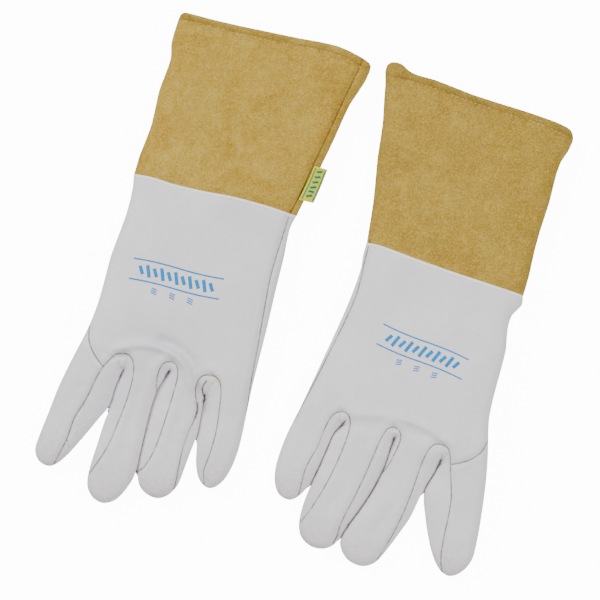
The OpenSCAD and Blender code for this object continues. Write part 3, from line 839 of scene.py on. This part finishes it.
class Surface:
    """The two sheets of a glove: their points in the glove's millimetres, and in the frame."""

    def __init__(self, glove, plan, seed):
        seams = plan.top_seams + plan.low_seams + plan.bands + plan.cuts + [plan.thumb_hole]
        points, triangles, rim = cut_flat(plan.outline, plan.mouth, seams, plan.pleats)
        self.plan, self.points, self.triangles = plan, points, triangles
        x, y = points.T
        full = np.sqrt(rounding(points, triangles, rim, ROUNDING))
        inner = np.clip(full * 1.7, 0, 1)
        height = at_station(y, RIM_Z) - self.sag(x, y)
        top = height + at_station(y, RISE) * full + self.top_detail(seed) * inner
        low = height - at_station(y, DROP) * full + self.low_detail(seed) * inner
        low = np.maximum(low, LOWEST + 0.06 * np.clip(low, -4, 0))
        rolled = 1 - np.clip(distances(points, [plan.mouth]) / 2.6, 0, 1)
        roll = 1.5 * (1 - np.sqrt(1 - rolled ** 2))
        top, low = np.where(rim, top, top - roll), np.where(rim, low, low + roll)
        points, top, low = self.tuck(points, top, low)
        both = np.vstack([np.column_stack([points, top]), np.column_stack([points, low])])
        self.vertices = glove.world(both)
        self.top_faces = facing_up(points, triangles, glove.side)
        self.low_faces = under(rim)[self.top_faces[:, ::-1]]
        self.normals = normals_of(self.vertices, np.vstack([self.top_faces, self.low_faces]))
        places = [Vector(p) for p in self.vertices]
        self.tree = BVHTree.FromPolygons(places, self.top_faces.tolist())
        self.low_tree = BVHTree.FromPolygons(places, self.low_faces.tolist())

    def tuck(self, points, top, low):
        """Where two fingers touch, the one nearer the little side goes a little under its neighbour."""
        moved = points.copy()
        for i, strand in enumerate(self.plan.fingers[:3]):
            own = self.plan.fingers[i + 1][:FINGER_SIDE]
            strand_tree, own_tree = tree_of(strand[-FINGER_SIDE:]), tree_of(own)
            gaps = [strand_tree.find((*p, 0))[2] for p in own]
            for k in np.where(inside(points, self.plan.whole[i + 1]))[0]:
                _, edge, inset = own_tree.find((*points[k], 0))
                if inset < TUCK_REACH:
                    share = float(ramp((2.1 - gaps[edge]) / 1.0) * ramp(1 - inset / TUCK_REACH))
                    share *= float(ramp(edge * STEP / 6))
                    place = np.array(strand_tree.find((*own[edge], 0))[0][:2])
                    way = (place - own[edge]) / (gaps[edge] + 0.01)
                    moved[k] += way * min(2.4, gaps[edge] + 1.2) * share
                    top[k] -= 2.8 * share
                    low[k] -= 1.0 * share
        return moved, top, np.maximum(np.minimum(low, top), LOWEST)

    def sag(self, x, y):
        """The hand's little-finger side lies lower than its thumb side."""
        in_hand = ramp((8 - y) / 40) * ramp((y + 175) / 50)
        return LITTLE_SIDE_SAG * ramp((18 - x) / 62) * in_hand

    def worn(self):
        """How rubbed the leather is: the fingertips most, the hem's fold a little."""
        x, y = self.points.T
        tips = [finger[np.argmin(finger[:, 1])] for finger in self.plan.fingers]
        near = np.max([ramp(1 - (np.hypot(x - tx, y - ty) - 8) / 34) for tx, ty in tips], axis=0)
        hem = 0.35 * ramp((y - np.interp(x, *self.plan.hem[::-1].T) + 8) / 10)
        return np.maximum(near, hem + self.plan.cuff_wear * ramp((y - 2) / 3))

    def dark(self, sheet_is_top):
        """How dark each point is: the seams' own dark lines, and painted shade at the crotches, between
        touching fingers and along the creases.
        """
        lines = self.plan.top_seams if sheet_is_top else self.plan.low_seams
        creases = bump(distances(self.points, lines), 0.7)
        bands = bump(distances(self.points, [self.plan.wrist]), 0.6) * 0.7
        # painted shadow at each crotch, where the fingers part
        crotch_shadow = [straight(crotch, crotch + way * 5) for crotch, way in self.plan.crotches]
        crotch_shadow = 1.1 * bump(distances(self.points, crotch_shadow), 0.75)
        lines = [creases, bands, crotch_shadow, self.shade_between_fingers()]
        # painted shade along each crease on the top sheet
        if sheet_is_top:
            lines += [strength * bump(distances(self.points, [line]), 0.75)
                      for line, strength in self.plan.creases]
        return np.maximum.reduce(lines)

    def shade_between_fingers(self):
        """Painted shade along the sides of fingers that lie against each other."""
        dark = np.zeros(len(self.points))
        for one, other in zip(self.plan.fingers, self.plan.fingers[1:]):
            facing = one[-FINGER_SIDE:], other[:FINGER_SIDE]
            for own, near in (facing, facing[::-1]):
                close = own[distances(own, [near]) < TOUCHING]
                if len(close) > 2:
                    gap_shade = self.plan.gap_shade * bump(distances(self.points, [close]), 0.6)
                    dark = np.maximum(dark, gap_shade)
        return dark

    def top_detail(self, seed):
        points, plan = self.points, self.plan
        x, y = points.T
        z = valley(distances(points, plan.top_seams))
        z += self.band_detail(points)
        for line, height, width in plan.folds:
            z += height * bump(distances(points, [line]), width)
        gussets = np.array([n.startswith("fork") or "gusset" in n for n in plan.top_piece(x, y)])
        z -= 1.1 * gussets * ramp(distances(points, plan.top_seams) / 2.0)
        for crotch, way in plan.crotches:
            z += -2.2 * bump(distances(points, [straight(crotch, crotch + way * 7)]), 1.9)
        z += self.folds(points, seed)
        for line, strength in plan.creases:
            gap = distances(points, [line])
            z += strength * (0.2 * bump(gap - 2.2, 1.2) - 0.6 * bump(gap, 1.0))
        for pair in plan.forks:
            apex = np.hypot(*(points - pair[0][0]).T)
            z += -0.9 * bump(apex, 2.6) + 0.5 * bump(apex - 5.5, 2.5)
        return z

    def low_detail(self, seed):
        points = self.points
        z = -valley(distances(points, self.plan.low_seams), 0.9)
        return z - self.band_detail(points) - self.folds(points, seed + 40) * 0.7

    def band_detail(self, points):
        """The welt stands proud between two creases, and so does the folded hem."""
        x, y = points.T
        wrist, hem = (np.interp(x, *line[::-1].T) for line in (self.plan.wrist, self.plan.hem))
        z = 0.8 * bump(y - wrist + WELT_WIDTH / 2, 0.9) - 0.9 * bump(y - wrist, 0.8)
        z += -0.6 * bump(y - wrist + WELT_WIDTH, 0.8) + 0.5 * bump(y - wrist - 4, 3)
        into = y - hem
        pull = 0.8 + 1.6 * wrinkles(points, 7, 3)
        z += (1.9 + 1.2 * wrinkles(points, 16, 9)) * bump(into - 3.2, 2.4)
        z -= 1.5 * pull * bump(into, 1.6)
        z += 1.1 * wrinkles(points, 9, 5, (1, 2)) * bump(into + 5, 6)
        return z

    def folds(self, points, seed):
        """The leather's own soft waves, finer on the fingers, broader and rougher on the cuff."""
        x, y = points.T
        on_cuff, on_fingers = ramp((y - 4) / 8), ramp((-118 - y) / 25)
        broad = wrinkles(points, 34, seed)
        middle = wrinkles(points, 12, seed + 7, (1, 1.7))
        fine = wrinkles(points, 5, seed + 13)
        z = broad * (1.3 + 0.6 * on_cuff + 0.3 * on_fingers)
        z += middle * (0.32 + 0.35 * on_cuff + 0.55 * on_fingers)
        return z + fine * (0.05 + 0.32 * on_cuff + 0.16 * on_fingers)


BODY_OF = {"back_panel": "hand", "palm_panel": "hand", "wrist_welt": "hand", "index_knuckle": "hand",
           "thumb_base": "hand", "cuff_back": "cuff", "cuff_palm": "cuff", "cuff_hem": "cuff",
           "thumb_front": "thumb", "thumb_back": "thumb"}
OVER_WRIST = ("back_panel", "palm_panel", "wrist_welt", "cuff_back", "cuff_palm")


def attach(piece, glove, part):
    """Puts a piece on its body, or, if it lies over the wrist or a finger's hinge, leaves it unparented in
    the frame, and hides the CAD node it stands for.
    """
    finger = next((f for f in FINGERS if part.startswith(f) and part != "index_knuckle"), None)
    if part in OVER_WRIST:
        ends = [glove.world([0, way, BEND_Z])[0] for way in (-WRIST_BEND, WRIST_BEND)]
        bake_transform(piece)
    elif finger:
        at, heading = glove.hinge(finger)
        ends = [glove.world([*(at + heading * way), BEND_Z])[0] for way in (-BEND_HALF, BEND_HALF)]
        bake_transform(piece)
    else:
        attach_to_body(piece, f"{glove.name}_{BODY_OF.get(part, 'hand')}")
    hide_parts(f"{glove.name}_{part}")


def make_shell(glove, surface):
    """Every piece of leather that the two sheets are divided into."""
    top, low = surface.dark(True), surface.dark(False)
    # the seam mark holds the seams' dark lines together with the painted shade in creases, crotches and
    # gaps between fingers
    marks = {"seam": np.concatenate([top, low]), "worn": np.tile(surface.worn(), 2)}
    centres = surface.points[surface.triangles].mean(1)
    names = np.concatenate([surface.plan.top_piece(*centres.T), surface.plan.low_piece(*centres.T)])
    faces = np.vstack([surface.top_faces, surface.low_faces])
    for part in sorted(set(names) - {"hole"}):
        wall, material = HIDE, (CUT_EDGE if part == "wrist_welt" else GRAIN)
        if part.startswith("cuff"):
            wall, material = (HEM_WALL if part == "cuff_hem" else SPLIT), SUEDE
        piece = leather(f"{glove.name}_{part}_leather", faces[names == part], surface.vertices,
                        surface.normals, wall, material, marks)
        attach(piece, glove, part)


# ---- the thumb ----

def make_thumb(glove, seed):
    """A flat leather tube under the palm: a front and a back half, open where its base is."""
    cx, cy = THUMB_CENTRE
    turns = np.radians(np.linspace(-62, -118, 9))
    mouth = [(cx + 17.5 * math.cos(a), cy + 17.5 * math.sin(a)) for a in turns][::-1]
    r, tip = THUMB_R - 0.6, cy - THUMB_LENGTH
    side = [mouth[-1], (cx + r * 0.9, cy - 22), (cx + r, cy - 34), (cx + r, tip + 6),
            (cx + r * 0.92, tip - 5), (cx + r * 0.62, tip - 11), (cx, tip - 14.2),
            (cx - r * 0.66, tip - 10.6), (cx - r * 0.94, tip - 4), (cx - r, tip + 8), (cx - r, cy - 33),
            (cx - r * 0.9, cy - 22), mouth[0]]
    edge, opening = smooth_line(side), smooth_line(mouth)
    points, triangles, rim = cut_flat([edge, opening], opening, [])
    full = np.sqrt(rounding(points, triangles, rim, 5.0))
    waves = wrinkles(points, 11, seed) * 0.5 * full
    heights = THUMB_Z + np.concatenate([4.3 * full + waves.clip(-9, 0.1),
                                        -4.35 * full - waves.clip(-9, 0)])
    vertices = glove.world(np.column_stack([np.vstack([points, points]), heights]))
    back = facing_up(points, triangles, glove.side)
    front = under(rim)[back[:, ::-1]]
    normals = normals_of(vertices, np.vstack([back, front]))
    marks = {"seam": np.tile(bump(distances(points, [edge]), 0.6), 2),
             "worn": np.tile(ramp((THUMB_CENTRE[1] - 30 - points[:, 1]) / 30), 2)}
    for part, faces in (("thumb_back", back), ("thumb_front", front)):
        piece = leather(f"{glove.name}_{part}_leather", faces, vertices, normals, HIDE, GRAIN, marks)
        attach(piece, glove, part)


def make_thumb_base(glove, surface):
    """A shallow leather cup sewn round the palm's hole, cut away where the thumb leaves it."""
    cx, cy = THUMB_CENTRE
    profile = [(0.0, 0.0), (0.3, 0.0), (0.6, 0.0), (0.8, 0.02), (0.9, 0.07), (0.96, 0.16),
               (0.99, 0.3), (1.0, 0.5), (1.0, 0.75), (1.0, 1.0)]
    points, faces = [], []
    for i in range(BASE_STEPS):
        a = 2 * math.pi * i / BASE_STEPS
        x, y = cx + THUMB_BASE_R * math.cos(a), cy + THUMB_BASE_R * math.sin(a)
        hit = on_surface(glove, surface.low_tree, (x, y), True)
        palm = hit[0].z / MM if hit else 10.0
        off = abs((math.degrees(a) - BASE_OPENS + 180) % 360 - 180)
        open_share = float(ramp((BASE_OPEN_HALF - off) / 14))
        rise = (palm + 0.4 - BASE_FOOT) * (1 - open_share) + 0.9 * open_share
        pucker = 0.25 * math.cos(a * 24) * (1 - open_share)
        for out, up in profile:
            reach = (THUMB_BASE_R - 0.15 + pucker * up * (1 - up) * 4) * out
            points.append((cx + reach * math.cos(a), cy + reach * math.sin(a), BASE_FOOT + rise * up))
    row = len(profile)
    for i in range(BASE_STEPS):
        j = (i + 1) % BASE_STEPS
        for k in range(row - 1):
            a, b, c, d = i * row + k, j * row + k, j * row + k + 1, i * row + k + 1
            faces += [(a, d, c)] + ([(a, c, b)] if k else [])
    points = np.array(points)
    centre = np.arange(BASE_STEPS) * row
    faces = np.array(faces)
    faces[np.isin(faces, centre)] = 0
    if glove.side > 0:
        faces = faces[:, ::-1]
    vertices = glove.world(points)
    normals = normals_of(vertices, faces)
    if normals[0, 2] > 0:
        faces, normals = faces[:, ::-1], -normals
    marks = {"seam": np.zeros(len(points)), "worn": np.zeros(len(points))}
    piece = leather(f"{glove.name}_thumb_base_leather", faces, vertices, normals, HIDE, GRAIN, marks)
    attach(piece, glove, "thumb_base")


def make_thumb_flaps(glove):
    """Two curved flaps on the thumb that slide inside its base, so that no gap opens as it swings."""
    points, faces = [], []
    for first, last in FLAP_TURNS:
        for a in np.radians(np.linspace(first, last, FLAP_COLUMNS)):
            x = THUMB_CENTRE[0] + FLAP_R * math.cos(a)
            y = THUMB_CENTRE[1] + FLAP_R * math.sin(a)
            points += [(x, y, z) for z in np.linspace(FLAP_FOOT, FLAP_TOP, FLAP_ROWS)]
    for i in range(len(points) // FLAP_ROWS - 1):
        if i != FLAP_COLUMNS - 1:       # the flaps aren't joined to each other
            for k in range(FLAP_ROWS - 1):
                a = i * FLAP_ROWS + k
                faces += [(a, a + FLAP_ROWS, a + FLAP_ROWS + 1), (a, a + FLAP_ROWS + 1, a + 1)]
    points, faces = np.array(points), np.array(faces)
    if glove.side < 0:
        faces = faces[:, ::-1]
    vertices = glove.world(points)
    marks = {"seam": np.zeros(len(points)), "worn": np.zeros(len(points))}
    piece = leather(f"{glove.name}_thumb_flaps", faces, vertices, normals_of(vertices, faces), HIDE / 2,
                    GRAIN, marks)
    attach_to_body(piece, f"{glove.name}_thumb")


# ---- thread, tape and print ----

def rods(name, stitches, radius, material):
    """Short round-ended stitches as one mesh; each is its two ends in the frame and the way up."""
    vertices, faces = [], []
    profile = [(0.0, 0.25), (0.12, 0.75), (0.3, 1.0), (0.7, 1.0), (0.88, 0.75), (1.0, 0.25)]
    round_steps = 8
    for start, end, up in stitches:
        start, end, up = Vector(start), Vector(end), Vector(up)
        way = end - start
        across = way.cross(up).normalized()
        up = across.cross(way).normalized()
        first = len(vertices)
        for t, share in profile:
            arch = math.sin(math.pi * t) * radius * 0.8 * MM
            for k in range(round_steps):
                a = 2 * math.pi * k / round_steps
                out = across * math.cos(a) + up * math.sin(a) * 0.8
                vertices.append(start + way * t + up * arch + out * radius * share * MM)
        for j in range(len(profile) - 1):
            for k in range(round_steps):
                n = (k + 1) % round_steps
                a, b = first + j * round_steps, first + (j + 1) * round_steps
                faces.append((a + k, a + n, b + n, b + k))
        faces.append([first + k for k in range(round_steps)][::-1])
        faces.append([first + (len(profile) - 1) * round_steps + k for k in range(round_steps)])
    return mesh_object(name, vertices, faces, None, [material])


def on_surface(glove, tree, point, from_below=False):
    """The place and the normal on a sheet over or under a point of the plan."""
    z = RAY_LOW if from_below else RAY_HIGH
    origin = Vector(glove.world([point[0], point[1], z])[0])
    hit = tree.ray_cast(origin, Vector((0, 0, 1 if from_below else -1)))
    if hit[0] is None:
        return None
    normal = hit[1]
    if (normal.z > 0) == from_below:
        normal = -normal
    return hit[0], normal


def stitch_row(glove, surface, line, pitch, length, from_below):
    """Stitches along a line on a sheet."""
    tree = surface.low_tree if from_below else surface.tree
    dense = smooth_line(line[::6], pitch / 2)
    found = []
    for k in range(1, len(dense) - 2, 2):
        middle, way = dense[k], dense[k + 1] - dense[k]
        way = way / np.linalg.norm(way) * length / 2
        ends = [on_surface(glove, tree, middle + sign * way, from_below) for sign in (-1, 1)]
        if all(ends):
            found.append((ends[0][0], ends[1][0], ends[0][1]))
    return found


def loose(rng, up):
    """How far a stitch's end has been pulled aside and into the nap."""
    return (Vector((*rng.uniform(-0.28, 0.28, 2), 0)) - up * rng.uniform(0.04, 0.34)) * MM


def make_stitches(glove, surface, rng):
    """The row of stitches that holds the hem, and the ends of thread at the forks."""
    line = surface.plan.hem[2:-2]
    found = [stitch for from_below in (False, True)
             for stitch in stitch_row(glove, surface, line, STITCH_PITCH, STITCH_LENGTH, from_below)]
    found = [(start + loose(rng, up), end + loose(rng, up), up) for start, end, up in found
             if rng.random() > STITCHES_LOST]
    piece = rods(f"{glove.name}_hem_stitches", found, THREAD_R, THREAD)
    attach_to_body(piece, f"{glove.name}_cuff")
    found = []
    ends_at = [(pair[0][0], 0.9, 0.8, 3) for pair in surface.plan.forks]
    ends_at += [(np.array(at), 2.2, 1.4, 9) for at in surface.plan.loose_threads]
    for centre, spread, reach, count in ends_at:
        for _ in range(count):
            at = centre + rng.uniform(-spread, spread, 2) + np.array([0, 0.3])
            way = rng.uniform(-1, 1, 2)
            way *= reach / np.linalg.norm(way)
            ends = [on_surface(glove, surface.tree, at + sign * way) for sign in (-1, 1)]
            if all(ends):
                found.append((ends[0][0], ends[1][0], ends[0][1]))
    piece = rods(f"{glove.name}_fork_threads", found, FINE_THREAD_R, FINE_THREAD)
    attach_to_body(piece, f"{glove.name}_hand")


def lay_stroke(glove, tree, points, width, across, vertices, faces):
    """Adds a flat stroke laid on a sheet along a line, with so many points across it."""
    line = stroke(points)
    first = len(vertices)
    for p, out in zip(line, sideways(line)):
        for offset in np.linspace(-width / 2, width / 2, across):
            place, normal = on_surface(glove, tree, p + out * offset)
            vertices.append(place + normal * INK_LIFT * MM)
    for k in range(len(line) - 1):
        for j in range(across - 1):
            a = first + k * across + j
            faces.append((a, a + 1, a + across + 1, a + across))


def thicken(piece, thickness, offset=-1):
    solid = piece.modifiers.new("thickness", "SOLIDIFY")
    solid.thickness = thickness * MM
    solid.offset = offset
    return solid


def make_print(glove, surface):
    """A plain blue mark on the back of the hand: slanting bars between two waved lines, ticks below."""
    (cx, cy), slope = glove.design["print"]
    lean = math.tan(math.radians(slope)) * glove.side
    vertices, faces = [], []

    def draw(places, width):
        line = [(cx + x, cy + y + x * lean + 0.7 * math.sin(x / 11)) for x, y in places]
        lay_stroke(glove, surface.tree, line, width, 3, vertices, faces)

    for y in (PRINT_LINE, -PRINT_LINE):
        draw([(x, y) for x in range(-32, 33, 4)], 1.0)
    for k in range(11):
        x = -25 + 5 * k
        tall = 4.1 if k % 2 else 2.7
        draw([(x + 1.5, tall), (x - 1.5, -tall)], 2.3)
    for k in (-1, 0, 1):
        for step in (-1.5, 0, 1.5):
            draw([(13 * k - 1.9, -13 + step), (13 * k + 1.9, -12.2 + step)], 0.8)
    piece = mesh_object(f"{glove.name}_back_print", vertices, faces, None, [INK])
    thicken(piece, INK_THICKNESS)
    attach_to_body(piece, f"{glove.name}_hand")


def tape_stripes(glove, root, fold, tape):
    """Teal bars across the tape, between two lines along it; out is 0 at its root and 1 at its fold."""
    bpy.context.view_layer.update()
    tree = BVHTree.FromObject(tape, bpy.context.evaluated_depsgraph_get())
    vertices, faces = [], []
    last = min(len(root), len(fold)) - 1

    def at(t, out):
        return (1 - out) * root[int(t * last)] + out * fold[int(t * last)]

    strokes = [([at(t, out) for t in np.linspace(0.06, 0.96, 7)], 0.7) for out in (0.16, 0.90)]
    strokes += [([at(t, 0.34), at(t + 0.045, 0.72)], 1.5) for t in np.linspace(0.16, 0.86, 6)]
    for points, width in strokes:
        lay_stroke(glove, tree, points, width, 2, vertices, faces)
    stripes = mesh_object(f"{glove.name}_tape_stripes", vertices, faces, None, [TAPE_LINING])
    thicken(stripes, INK_THICKNESS)
    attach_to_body(stripes, f"{glove.name}_cuff")


def make_label(glove, surface):
    """A folded tape sewn into the cuff's seam, a little open at its lower end."""
    root = smooth_line([(-57.0, 10.6), (-58.9, 19), (-60.6, 27.5), (-62.0, 36.4)], 1.3)
    fold = smooth_line([(-67.4, 11.0), (-69.0, 19), (-70.3, 27.5), (-71.4, 36.2)], 1.3)
    rows = min(len(root), len(fold))
    profile = [(0.0, 0.3), (0.12, 0.45), (0.3, 0.65), (0.5, 0.8), (0.7, 0.85), (0.86, 0.8),
               (0.96, 0.5), (1.0, 0.0), (0.96, -0.5), (0.86, -0.8), (0.7, -0.9), (0.55, -0.9)]
    points, faces = [], []
    for i in range(rows):
        t = i / (rows - 1)
        gape = 1.0 + 1.3 * (1 - t) ** 3
        start = on_surface(glove, surface.tree, root[i])[0].z / MM + 0.5
        for out, up in profile:
            x, y = root[i] + (fold[i] - root[i]) * out
            high = start + (LABEL_Z - start) * float(ramp(out * 1.1))
            points.append((x, y, high + up * gape + 0.3 * math.sin(6 * t + 2 * out)))
    row = len(profile)
    for i in range(rows - 1):
        for k in range(row - 1):
            a = i * row + k
            faces.append((a, a + 1, a + row + 1, a + row))
    piece = mesh_object(f"{glove.name}_folded_tape", glove.world(points), faces, None,
                        [TAPE, TAPE_LINING])
    thicken(piece, TAPE_THICKNESS, 1).material_offset = 1
    smooth = piece.modifiers.new("smooth", "SUBSURF")
    smooth.levels = smooth.render_levels = 1
    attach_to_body(piece, f"{glove.name}_cuff")
    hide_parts(f"{glove.name}_label")
    tape_stripes(glove, root, fold, piece)


def make_glove(design, seed):
    glove = Glove(design)
    plan = Plan(design, glove)
    surface = Surface(glove, plan, seed)
    make_shell(glove, surface)
    make_thumb(glove, seed + 3)
    make_thumb_base(glove, surface)
    make_thumb_flaps(glove)
    make_stitches(glove, surface, np.random.default_rng(seed))
    make_print(glove, surface)
    if glove.name == "left":
        make_label(glove, surface)


# ---- floor, lights and camera ----

def make_floor():
    material, shader = new_material("pale_floor")
    n = Nodes(material)
    shade = n.range(n.noise(120, 2), 0.3, 0.7, 0, 1)
    n.fill(shader, Base_Color=n.mix(shade, (0.93, 0.93, 0.93), (0.95, 0.95, 0.95)), Roughness=0.9,
           Emission_Color=(1, 1, 1, 1), Emission_Strength=FLOOR_GLOW)
    corners = [(x * FLOOR_HALF, y * FLOOR_HALF, FLOOR_Z)
               for x, y in ((-1, -1), (1, -1), (1, 1), (-1, 1))]
    floor = mesh_object("floor", corners, [(0, 1, 2, 3)], None, [material])
    floor.visible_diffuse = False
    floor.visible_glossy = False


def area_light(name, place, size, power):
    light = bpy.data.lights.new(name, "AREA")
    light.shape = "DISK"
    light.size = size
    light.energy = power
    lamp = bpy.data.objects.new(name, light)
    lamp.location = place
    lamp.rotation_euler = (-Vector(place)).to_track_quat("-Z", "Y").to_euler()
    bpy.context.scene.collection.objects.link(lamp)


def make_lights_and_camera():
    turn = math.radians(CAMERA_TURN)
    for name, (right, up, high), size, power in LIGHTS:
        place = (right * math.cos(turn) - up * math.sin(turn),
                 right * math.sin(turn) + up * math.cos(turn), high)
        area_light(name, place, size, power)
    world = bpy.data.worlds.new("studio")
    world.use_nodes = True
    sky = world.node_tree.nodes["Background"]
    sky.inputs["Color"].default_value = (1, 1, 1, 1)
    sky.inputs["Strength"].default_value = SKY
    bpy.context.scene.world = world
    camera = bpy.data.cameras.new("camera")
    camera.lens = CAMERA_HEIGHT * camera.sensor_width / VIEW_WIDTH
    eye = bpy.data.objects.new("camera", camera)
    eye.location = (*LOOK_AT, CAMERA_HEIGHT)
    eye.rotation_euler = (0, 0, turn)
    bpy.context.scene.collection.objects.link(eye)
    bpy.context.scene.camera = eye


make_glove(LEFT, 11)
make_glove(RIGHT, 23)
make_floor()
make_lights_and_camera()
